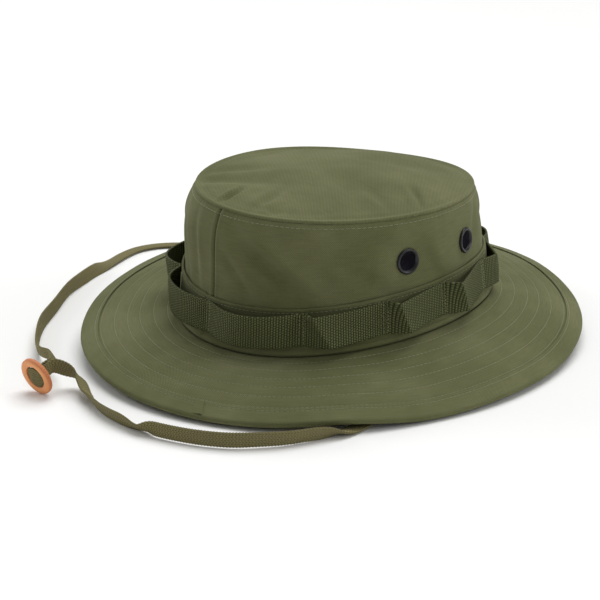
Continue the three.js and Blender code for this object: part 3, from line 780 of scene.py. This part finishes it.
# Soft folds of the crown's side: place round the hat in degrees, rise, slant in degrees from level,
# half length, half width and depth, in millimetres.
FOLDS = [
    (27, 50, -38, 22, 4.5, 1.7), (12, 45, -46, 15, 3.5, 1.1), (20, 58, -30, 20, 4.5, 1.0),
    (36, 64, -28, 24, 6, 0.9), (46, 44, -50, 14, 5, 0.8), (62, 38, -35, 16, 5, 0.7),
    (88, 40, -62, 10, 4, 0.6), (66, 60, -20, 16, 6, 0.7), (-13, 52, -80, 20, 3.5, 0.8),
    (-24, 44, -72, 18, 5, 0.9), (-40, 50, 60, 20, 5, 0.8), (-75, 48, -50, 20, 5, 0.8),
    (120, 52, 55, 18, 5, 0.8), (140, 44, -45, 20, 5, 1.0), (165, 50, 70, 18, 5, 0.8),
    (200, 46, -60, 22, 5, 1.1), (228, 52, 50, 20, 6, 1.0), (255, 60, -30, 18, 5, 0.7),
]
FOLD_STRENGTH = 1.4
# Folds of the tip: place from its middle, slant, half length, half width and depth, in millimetres.
TIP_FOLDS = [
    (-6, 78, 82, 9, 1.8, 1.6), (-26, 62, -28, 26, 6, 1.1), (-42, 44, -45, 26, 7, 1.2),
    (14, 66, 70, 12, 3, 1.1),
    (-58, 10, 80, 24, 7, 0.8), (30, 20, 35, 40, 10, 0.9), (10, -40, -20, 36, 10, 0.9),
    (-20, 5, 15, 40, 12, 0.7),
    (60, -5, 36, 15, 2.6, 1.5), (51, 17, 22, 15, 4, 1.0), (28, 74, 60, 10, 3.5, 0.9),
]


def folds_at(x, y, folds):
    depth = 0.0
    for at_x, at_y, slant, half_length, half_width, deep in folds:
        dx, dy = x - at_x, y - at_y
        turn = math.radians(slant)
        along = dx * math.cos(turn) + dy * math.sin(turn)
        across = dy * math.cos(turn) - dx * math.sin(turn)
        wave = bell(across, half_width) - 0.55 * bell(across - 1.7 * half_width, half_width)
        depth += deep * wave * bell(along, half_length)
    return FOLD_STRENGTH * depth * MM


def side_fold(t, rise):
    """How far the soft side stands off its plain shape, with its foot and top held by their seams."""
    arc = HEAD_RADIUS / MM
    angle = (math.degrees(t) + 180) % 360 - 180
    folds = [
        (math.radians(at) * arc, *rest) for at, *rest in FOLDS if abs((angle - at + 180) % 360 - 180) < 50
    ]
    here = math.radians(angle) * arc
    near = [(here + ((x - here + 180 / 57.3 * arc) % (TURN * arc) - math.pi * arc), *rest) for x, *rest in folds]
    swell = noise.noise(Vector((2.2 * math.cos(t), 2.2 * math.sin(t), rise * 28))) * 1.0 * MM
    below_tip = tip_height(t) - seam_height(t) - rise
    held = clamp((rise - 0.8 * BAND_RISE) / (8 * MM)) * clamp(below_tip / (7 * MM))
    pucker = 0.12 * MM * math.sin(t * 150 + 2 * math.sin(t * 13)) * bell(below_tip, 5 * MM)
    return held * (swell - folds_at(here, rise / MM, near)) + pucker


SEAM_ROLL = 1.1 * MM


def side_panel(name, node, start, end):
    """One side of the crown, from the back seam to the front seam, turned in at both and at the top."""
    seam = -0.1 * MM / HEAD_RADIUS

    def laid(u, v):
        t = lerp(start + seam, end - seam, u)
        top = tip_height(t) - seam_height(t) - SEAM_ROLL
        rise = v * top
        to_seam = min(u, 1 - u) * (end - start) * HEAD_RADIUS
        turned_in = 0.9 * MM * bell(to_seam, 0.8 * MM) - 0.35 * MM * bell(to_seam - 2.6 * MM, 1.3 * MM)
        under_roll = 0.7 * MM * bell(top - rise, 1.2 * MM)
        return wall_point(t, rise, side_fold(t, rise) - turned_in - under_roll)

    bm = cloth_mesh(name, 330, 72, laid, (HEAD_RADIUS * (end - start), CROWN_RISE))
    for at, rise in VENTS:
        if start < math.radians(at) < end:
            middle = wall_point(math.radians(at), rise) - BRIM_MIDDLE
            cleared = [vert for vert in bm.verts if (vert.co - middle).length < VENT_BORE / 2 + 0.9 * MM]
            bmesh.ops.delete(bm, geom=cleared, context="VERTS")
    panel = thicken(as_object(name, finish_mesh(bm, name), COTTON), CROWN_CLOTH)
    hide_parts(node)
    return panel


def crown_tip():
    """The oval on top: its edge rolls over the top of the side, with a shallow dip inside the seam."""
    roll_rows, dome_rows = 9, 62
    rows = roll_rows + dome_rows
    middle = (tip_height(0) + tip_height(math.pi)) / 2

    def laid(u, v):
        t = TURN * u
        row = round(v * rows)
        pucker = 0.10 * MM * math.sin(t * 170 + 2 * math.sin(t * 11))
        if row <= roll_rows:
            turn = math.radians(lerp(-35, 90, row / roll_rows))
            height = tip_height(t) - seam_height(t) - SEAM_ROLL
            point = wall_point(t, height, pucker - 0.9 * MM + SEAM_ROLL * math.cos(turn))
            point.z += SEAM_ROLL * math.sin(turn)
            return point
        inset = 0.9 * MM
        reach = tip_outline(t, 1).length
        share = (1 - (row - roll_rows) / dome_rows) * (1 - inset / reach)
        point = tip_outline(t, share)
        from_edge = (1 - share) * reach - inset
        dip = 0.8 * MM * bell(from_edge - 2.6 * MM, 1.8 * MM) + pucker * bell(from_edge, 4 * MM)
        uneven = 0.6 + noise.noise(Vector((2 * math.cos(t), 2 * math.sin(t), 5.3)))
        dip += 1.3 * MM * uneven * bell(from_edge - 7.5 * MM, 4.5 * MM)
        held = clamp(from_edge / (6 * MM))
        swell = noise.noise(Vector((point.x * 24, point.y * 24, 3.1))) * 1.4 * MM
        soft = held * (swell - folds_at(-point.x / MM, point.y / MM, TIP_FOLDS)) * clamp(share * 4)
        dome = lerp(middle, tip_height(t), share**2) + TIP_DOME * (1 - share**2)
        point.z = dome - dip + soft - TIP_DOME * (1 - (1 - inset / reach) ** 2) * share**8
        return point

    bm = cloth_mesh("crown_tip_cloth", 420, rows, laid, (TURN * 0.08, 0.09))
    weave = bm.loops.layers.uv.active
    for face in bm.faces:
        for loop in face.loops:
            loop[weave].uv = loop.vert.co.xy
    tip = as_object("crown_tip_cloth", finish_mesh(bm, "crown_tip_cloth"), COTTON)
    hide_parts("crown_tip")
    return thicken(tip, TIP_CLOTH * 0.6)


BAND_SEAM_AT = math.radians(-3.5)
LEDGE_FOOT, LEDGE_TOP = STACK + 0.5 * MM, 6 * MM


def band_point(t, rise, off):
    """The band lies on the crown; its cloth overlaps at the back, and its top edge is stitched down."""
    to_seam = ((t - BAND_SEAM_AT + math.pi) % TURN - math.pi) * HEAD_RADIUS
    overlap = 0.5 * MM * clamp(0.5 - to_seam / (0.7 * MM)) * bell(min(0, to_seam + 1 * MM), 9 * MM)
    top_row = bell(BAND_RISE - 2.4 * MM - rise, 0.6 * MM)
    stitched = 0.22 * MM * (top_row + bell(LEDGE_TOP - 1.7 * MM - rise, 0.5 * MM))
    pucker = 0.10 * MM * math.sin(t * 165 + 3 * math.sin(t * 9)) * bell(BAND_RISE - rise, 4 * MM)
    slack = 0.25 * MM * noise.noise(Vector((3 * math.cos(t), 3 * math.sin(t), rise * 60)))
    outside = 1 if off > GAP + BAND_CLOTH / 2 else 0
    proud = overlap - stitched + pucker + slack + 0.25 * MM
    return wall_point(t, rise + overlap * 0.8, off + outside * proud)


def hat_band():
    """A folded strip: its top is a fold, and its foot turns out into a stitched ledge on the brim."""
    face = GAP + BAND_CLOTH
    ledge = face + 1.5 * MM
    foot = [(0, face), (LEDGE_FOOT - 0.3 * MM, face), (LEDGE_FOOT, face + 0.7 * MM), (LEDGE_FOOT + 0.3 * MM, ledge)]
    lip = [(LEDGE_FOOT + 1.2 * MM, ledge + 0.1 * MM), (LEDGE_TOP - 0.9 * MM, ledge - 0.3 * MM)]
    step = [(LEDGE_TOP - 0.3 * MM, face + 0.6 * MM), (LEDGE_TOP, face)]
    wall = [(lerp(LEDGE_TOP, BAND_RISE - 0.6 * MM, i / 22), face) for i in range(1, 23)]
    top = [
        (BAND_RISE - 0.6 * MM + 0.6 * MM * math.sin(a), GAP + 0.6 * MM + 0.6 * MM * math.cos(a))
        for a in (math.radians(30 * k) for k in range(1, 6))
    ]
    inside = [(lerp(BAND_RISE - 0.6 * MM, 0, i / 6), GAP) for i in range(7)]
    profile = foot + lip + step + wall + top + inside
    band = ring_cloth("hat_band_cloth", profile, band_point, 540, COTTON, (0.58, 0.066))
    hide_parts("hat_band")
    return band


def sweatband():
    """The folded strip inside, with its lower fold rounded."""
    face = -CROWN_CLOTH - GAP
    back = face - SWEATBAND_CLOTH
    half = SWEATBAND_CLOTH / 2
    outer = [(lerp(0, SWEATBAND_RISE - half, i / 12), face) for i in range(13)]
    top = [
        (SWEATBAND_RISE - half + half * math.sin(a), face - half + half * math.cos(a))
        for a in (0.8, 1.57, 2.3)
    ]
    inner = [(lerp(SWEATBAND_RISE - half, 0, i / 12), back) for i in range(13)]

    def laid(t, rise, off):
        slack = 0.5 * MM * (noise.noise(Vector((4 * math.cos(t), 4 * math.sin(t), rise * 50))) - 0.5)
        return wall_point(t, rise, off + (slack if off < face - half else 0))

    profile = list(reversed(outer + top + inner))
    band = ring_cloth("sweatband_cloth", profile, laid, 300, SWEATBAND, (0.56, 0.066))
    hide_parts("sweatband")
    return band


def size_label():
    half = LABEL_WIDTH / HEAD_LENGTH
    foot = (SWEATBAND_RISE - LABEL_HEIGHT) / 2
    front = CROWN_CLOTH + SWEATBAND_CLOTH + 2 * GAP + LABEL_CLOTH

    def laid(u, v):
        curl = 0.5 * MM * bell(min(u, 1 - u), 0.08)
        return wall_point(math.pi + lerp(half, -half, u), foot + v * LABEL_HEIGHT, -front - 0.2 * MM - curl)

    bm = cloth_mesh("plain_label", 40, 24, laid, (LABEL_WIDTH, LABEL_HEIGHT))
    cloth = as_object("plain_label", finish_mesh(bm, "plain_label"), LABEL)
    label = thicken(cloth, LABEL_CLOTH)
    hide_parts("size_label")
    return label


# ---- Brim ----

STITCH_ROWS = [row * MM for row in (6.5, 15, 23.5, 31, 39, 47.5)]
BINDING_START = BRIM_WIDTH - BINDING_WIDTH
HEM_ROW = BINDING_START + 1.6 * MM
EDGE_INSET = BINDING_CLOTH + LAYER_GAP
PUFF = 0.3 * MM


def puff_at(out):
    """The cloth stands up a little between two rows of stitches."""
    rows = [0, *STITCH_ROWS, HEM_ROW]
    for a, b in zip(rows, rows[1:]):
        if a <= out <= b:
            return PUFF * math.sin(math.pi * (out - a) / (b - a)) ** 0.6
    return 0.0


def brim_top(t, out, off=0.0):
    pucker = 0.06 * MM * math.sin(t * 190 + 2.5 * math.sin(t * 17))
    return brim_point(t, out, STACK - PUFF + puff_at(out) + pucker + off)


def brim_under(t, out, off=0.0):
    return brim_point(t, out, -off + 0.2 * MM - 0.6 * puff_at(out))


def brim_ply(name, nodes, material, face, flat_length, thickness, inwards):
    out_end = BRIM_WIDTH - EDGE_INSET

    def laid(u, v):
        share = 1 - v if inwards else v
        return face(TURN * u, share * out_end)

    bm = cloth_mesh(name, 480, 108, laid, (flat_length, BRIM_WIDTH))
    ply = thicken(as_object(name, finish_mesh(bm, name), material), thickness)
    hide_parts(*nodes)
    return ply


def interlining():
    def laid(u, v):
        return brim_point(TURN * u, (1 - v) * (BRIM_WIDTH - EDGE_INSET), STACK / 2 + INTERLINING / 2)

    bm = cloth_mesh("interlining_canvas", 180, 24, laid, (0.76, BRIM_WIDTH))
    canvas = as_object("interlining_canvas", finish_mesh(bm, "interlining_canvas"), CANVAS)
    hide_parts("brim_interlining")
    return thicken(canvas, INTERLINING)


def binding_point(t, out, off):
    middle = STACK / 2
    side = 1 if off > middle else -1
    stitched = 0.22 * MM * bell(out - HEM_ROW, 0.7 * MM)
    soft = 0.16 * MM * noise.noise(Vector((9 * math.cos(t), 9 * math.sin(t), out * 120)))
    pucker = 0.09 * MM * math.sin(t * 200 + 3 * math.sin(t * 14)) * bell(out - BINDING_START, 4 * MM)
    outside = 1 if abs(off - middle) > middle + LAYER_GAP + 0.3 * BINDING_CLOTH else 0
    return brim_point(t, out, off + side * outside * (soft + pucker - stitched))


def brim_binding():
    """The bias strip that folds over the brim's edge, its own edges turned under."""
    low, high = -LAYER_GAP, STACK + LAYER_GAP
    middle, radius = STACK / 2, STACK / 2 + LAYER_GAP + BINDING_CLOTH
    inner = radius - BINDING_CLOTH
    bend = BRIM_WIDTH - radius
    legs = [lerp(BINDING_START, bend, i / 14) for i in range(15)]
    angles = [math.radians(-90 + 18 * k) for k in range(11)]
    under = [(out, low - BINDING_CLOTH) for out in legs]
    edge = [(bend + radius * math.cos(a), middle + radius * math.sin(a)) for a in angles[1:-1]]
    over = [(out, high + BINDING_CLOTH) for out in reversed(legs)]
    tuck_over = [(BINDING_START - 0.25 * MM, high + 0.3 * MM), (BINDING_START, high)]
    inside_over = [(lerp(BINDING_START, bend, i / 4), high) for i in range(1, 5)]
    inside_edge = [(bend + inner * math.cos(a), middle + inner * math.sin(a)) for a in reversed(angles[1:-1])]
    inside_under = [(lerp(bend, BINDING_START, i / 4), low) for i in range(5)]
    tuck_under = [(BINDING_START - 0.25 * MM, low - 0.3 * MM)]
    profile = under + edge + over + tuck_over + inside_over + inside_edge + inside_under + tuck_under
    binding = ring_cloth(
        "brim_binding_cloth", list(reversed(profile)), binding_point, 540, COTTON, (0.95, 0.048),
    )
    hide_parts("brim_binding")
    return binding


def binding_joint():
    """Where the strip's two ends meet: one end folded under and laid over the other."""
    at, half = math.radians(17), 3.2 * MM / (HEAD_RADIUS + BRIM_WIDTH)

    def laid(u, v):
        out = lerp(BINDING_START - 0.1 * MM, BRIM_WIDTH - 1.6 * MM, v)
        lift = 0.55 * MM * clamp(u * 6) * clamp((1 - u) * 1.4)
        return brim_point(at + lerp(half, -half, u) + 0.02 * v, out, STACK + LAYER_GAP + BINDING_CLOTH + lift)

    bm = cloth_mesh("binding_joint", 18, 20, laid, (2 * half * 0.15, BINDING_WIDTH))
    lap = as_object("binding_joint", finish_mesh(bm, "binding_joint"), COTTON)
    return thicken(lap, 0.3 * MM)


# ---- Foliage loops ----


CHORD_DIP = 0.24


def stand_off(share, crest, creased):
    """The webbing pulls straight on both sides of a crease, and bows over where it has none."""
    climb = share / crest if share < crest else (1 - share) / (1 - crest)
    if not creased:
        return math.sin(math.pi / 2 * climb)
    return climb - (CHORD_DIP * 4 * climb * (1 - climb) if share > crest else 0)


def loop_point(index, u, v, depth=0.0):
    """A point on a loop of webbing, u along it from tack to tack and v up it."""
    tack, crests, reaches, creased = LOOPS[index]
    start = math.radians(tack)
    span = (math.radians(LOOPS[(index + 1) % len(LOOPS)][0]) - start) % TURN
    pad = SEWN / HEAD_RADIUS / span
    slack = clamp((u - pad) / (1 - 2 * pad))
    crest = lerp(crests[1], crests[0], v)
    blur = 0.012
    parts = [stand_off(clamp(slack + blur * k), crest, creased) for k in (-1, -0.5, 0, 0.5, 1)]
    out = lerp(reaches[1], reaches[0], v) * MM * sum(parts) / len(parts)
    sag = (0.5 + 0.4 * math.sin(2.1 * index)) * MM * math.sin(math.pi * slack)
    cup = 0.5 * MM * math.cos(TURN * v / 2 + index)
    off = 2 * GAP + BAND_CLOTH + 0.3 * MM + out + cup * clamp(out / (3 * MM)) + depth
    return wall_point(start + span * u, WEBBING_ABOVE_SEAM + v * WEBBING_WIDTH - sag * (0.4 + 0.6 * v), off)


def foliage_loop(index):
    name = f"foliage_webbing_{index + 1:02d}"
    span = (math.radians(LOOPS[(index + 1) % len(LOOPS)][0] - LOOPS[index][0])) % TURN
    length = span * HEAD_RADIUS + 12 * MM
    weave_depth = 0.16 * MM
    columns = round(length / (WEBBING_RIB / 6))

    def laid(u, v):
        bead = math.sin(math.pi * u * length / WEBBING_RIB) ** 2 * weave_depth
        edge = 0.15 * MM * bell(min(v, 1 - v), 0.03)
        return loop_point(index, u, v, bead - edge + WEBBING * 0.75)

    bm = cloth_mesh(name, columns, 24, laid, (length, WEBBING_WIDTH))
    loop = thicken(as_object(name, finish_mesh(bm, name), NYLON), WEBBING * 0.75)
    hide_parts(f"foliage_loop_{index + 1:02d}")
    return loop, length


# ---- Vents ----


def vent_frame(at, rise):
    """The frame of a vent: its middle on the outside of the crown, with +Z facing out."""
    t = math.radians(at)
    up = (wall_point(t, rise + MM) - wall_point(t, rise - MM)).normalized()
    side = up.cross(outward(t)).normalized()
    matrix = Matrix((side, up, side.cross(up))).transposed().to_4x4()
    matrix.translation = wall_point(t, rise) + side.cross(up) * side_fold(t, rise) - BRIM_MIDDLE
    return matrix


def vent_pieces(number, at, rise):
    matrix = vent_frame(at, rise)
    bore, outer = VENT_BORE / 2, VENT_OUTER / 2
    barrel = bore + VENT_BARREL
    rim = [
        (bore, -3 * MM), (barrel, -3 * MM), (barrel, 0.1 * MM), (outer - 0.1 * MM, 0.15 * MM), (outer, 0.45 * MM),
        (outer - 0.2 * MM, 0.95 * MM), (outer - 0.75 * MM, 1.3 * MM), (outer - 1.3 * MM, 1.2 * MM),
        (bore + 0.6 * MM, 0.75 * MM), (bore + 0.25 * MM, 0.45 * MM), (bore, 0.1 * MM),
    ]
    flange = as_object(f"vent_rim_{number}", spun_mesh("vent_rim", rim, 72, matrix), BLACK)
    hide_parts(f"vent_flange_{number}")
    foot = -CROWN_CLOTH - GAP
    washer = [
        (barrel + 0.1 * MM, foot - 1.3 * MM), (outer - 0.5 * MM, foot - 1.1 * MM), (outer, foot - 0.7 * MM),
        (outer - 0.1 * MM, foot - 0.3 * MM), (barrel + 0.1 * MM, foot - 0.3 * MM),
    ]
    back = as_object(f"vent_back_{number}", spun_mesh("vent_back", washer, 56, matrix), BLACK)
    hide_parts(f"vent_washer_{number}")
    pitch, half = 0.6 * MM, bore + 0.3 * MM
    wires = []
    count = int(half / pitch)
    for line in range(-count, count + 1):
        reach = math.sqrt(max(0, half**2 - (line * pitch) ** 2))
        stops = int(reach / pitch)
        for turned in (0, 1):
            run = []
            for stop in range(-stops - 1, stops + 2):
                along = clamp(stop * pitch, -reach, reach)
                weave = 0.15 * MM * (1 if (stop + line + turned) % 2 else -1)
                flat = (along, line * pitch) if turned else (line * pitch, along)
                run.append(matrix @ Vector((*flat, weave - 0.2 * MM)))
            wires.append(run)
    screen = strands(f"vent_mesh_{number}", wires, 0.29 * MM, SCREEN)
    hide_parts(f"vent_screen_{number}")


# ---- Putting the hat together ----

tip = crown_tip()
right_side = side_panel("side_cloth_right", "side_panel_right", 0, math.pi)
left_side = side_panel("side_cloth_left", "side_panel_left", math.pi, TURN)
band = hat_band()
inner_band = sweatband()
label = size_label()
upper = brim_ply(
    "brim_upper_cloth", ["brim_upper_ply"], COTTON, brim_top, 0.76, PLY * 0.8, inwards=True,
)
under = brim_ply(
    "brim_under_cloth", ["brim_lower_ply"], LINING, brim_under, 0.76, PLY * 0.8, inwards=False,
)
canvas = interlining()
binding = brim_binding()
joint = binding_joint()
loops = [foliage_loop(index) for index in range(len(LOOPS))]
for number, (at, rise) in enumerate(VENTS, start=1):
    vent_pieces(number, at, rise)

# ---- Stitching ----


def top_rows():
    rows = []
    for out in STITCH_ROWS:
        rows += stitches(lambda s, off, out=out: brim_top(TURN * s, out, off))
    high = STACK + LAYER_GAP + BINDING_CLOTH
    rows += stitches(lambda s, off: binding_point(TURN * s, HEM_ROW, high + off))
    return rows


def under_rows():
    rows = []
    for out in STITCH_ROWS:
        rows += stitches(lambda s, off, out=out: brim_under(TURN * s, out, off))
    low = -LAYER_GAP - BINDING_CLOTH
    rows += stitches(lambda s, off: binding_point(TURN * s, HEM_ROW, low - off))
    return rows


def crown_rows():
    band_face = GAP + BAND_CLOTH
    rows = stitches(lambda s, off: band_point(TURN * s, BAND_RISE - 2.4 * MM, band_face + off))
    rows += stitches(lambda s, off: band_point(TURN * s, LEDGE_TOP - 1.7 * MM, band_face + 1.3 * MM + off))

    def under_tip(s, off):
        t = TURN * s
        rise = tip_height(t) - seam_height(t) - 4.2 * MM
        return wall_point(t, rise, side_fold(t, rise) + off)

    return rows + stitches(under_tip, pitch=3 * MM, length=2.2 * MM)


def inside_rows():
    back = -CROWN_CLOTH - GAP - SWEATBAND_CLOTH - 0.25 * MM
    rows = stitches(lambda s, off: wall_point(TURN * s, SWEATBAND_RISE - 3 * MM, back - off))
    half = LABEL_WIDTH / HEAD_LENGTH - 1.4 * MM / HEAD_RADIUS
    foot = (SWEATBAND_RISE - LABEL_HEIGHT) / 2
    front = CROWN_CLOTH + SWEATBAND_CLOTH + 2 * GAP + LABEL_CLOTH + 0.25 * MM
    for rise in (foot + 1.5 * MM, foot + LABEL_HEIGHT - 1.5 * MM):
        rows += stitches(lambda s, off, rise=rise: wall_point(math.pi + half * s, rise, -front - off), -1, 1)
    return rows


def tack_rows():
    """Two close rows of stitches up the webbing at each tack."""
    rows = []
    for index in range(len(LOOPS)):
        tack = math.radians(LOOPS[index][0])
        face = 2 * GAP + BAND_CLOTH + 0.45 * MM + WEBBING * 0.75
        for aside in (-1.3 * MM, 1.3 * MM):
            t = tack + aside / HEAD_RADIUS

            def up_webbing(s, off, t=t):
                return wall_point(t, WEBBING_ABOVE_SEAM + s * WEBBING_WIDTH, face + off)

            rows += stitches(up_webbing, 0.04, 0.96, pitch=2.1 * MM, length=1.4 * MM, rise=0.15 * MM)
    return rows


top_thread = strands("brim_top_stitching", top_rows(), THREAD_RADIUS, THREAD)
under_thread = strands("brim_under_stitching", under_rows(), THREAD_RADIUS, THREAD)
crown_thread = strands("crown_stitching", crown_rows(), THREAD_RADIUS, THREAD)
inside_thread = strands("inside_stitching", inside_rows(), THREAD_RADIUS, THREAD)
tack_thread = strands("tack_stitching", tack_rows(), 0.19 * MM, TACK_THREAD)

# ---- Floor and light ----


def studio():
    bm = bmesh.new()
    bmesh.ops.create_grid(bm, x_segments=8, y_segments=8, size=4)
    floor = bpy.data.objects.new("floor", finish_mesh(bm, "floor"))
    bpy.context.scene.collection.objects.link(floor)
    floor.data.materials.append(floor_material())
    lamps = [
        ("left_box", (1.9, 0.9, 0.8), 1.0, 12),
        ("right_box", (-1.6, -1.1, 0.9), 1.0, 10),
    ]
    for name, place, size, power in lamps:
        light = bpy.data.lights.new(name, "AREA")
        light.shape, light.size, light.energy = "SQUARE", size, power
        holder = bpy.data.objects.new(name, light)
        holder.location = place
        holder.rotation_euler = (Vector((0, 0, 0.04)) - Vector(place)).to_track_quat("-Z", "Y").to_euler()
        bpy.context.scene.collection.objects.link(holder)
    sun = bpy.data.lights.new("overhead", "SUN")
    sun.energy = 2.15
    sun.angle = math.radians(55)
    holder = bpy.data.objects.new("overhead", sun)
    holder.rotation_euler = Vector((-0.2, 0.4, -1)).to_track_quat("-Z", "Y").to_euler()
    bpy.context.scene.collection.objects.link(holder)
    world = bpy.data.worlds.new("studio")
    world.use_nodes = True
    sky = world.node_tree.nodes["Background"]
    sky.inputs["Color"].default_value = (1, 1, 1, 1)
    sky.inputs["Strength"].default_value = 0.36
    bpy.context.scene.world = world
    bpy.context.scene.view_settings.view_transform = "Standard"


studio()
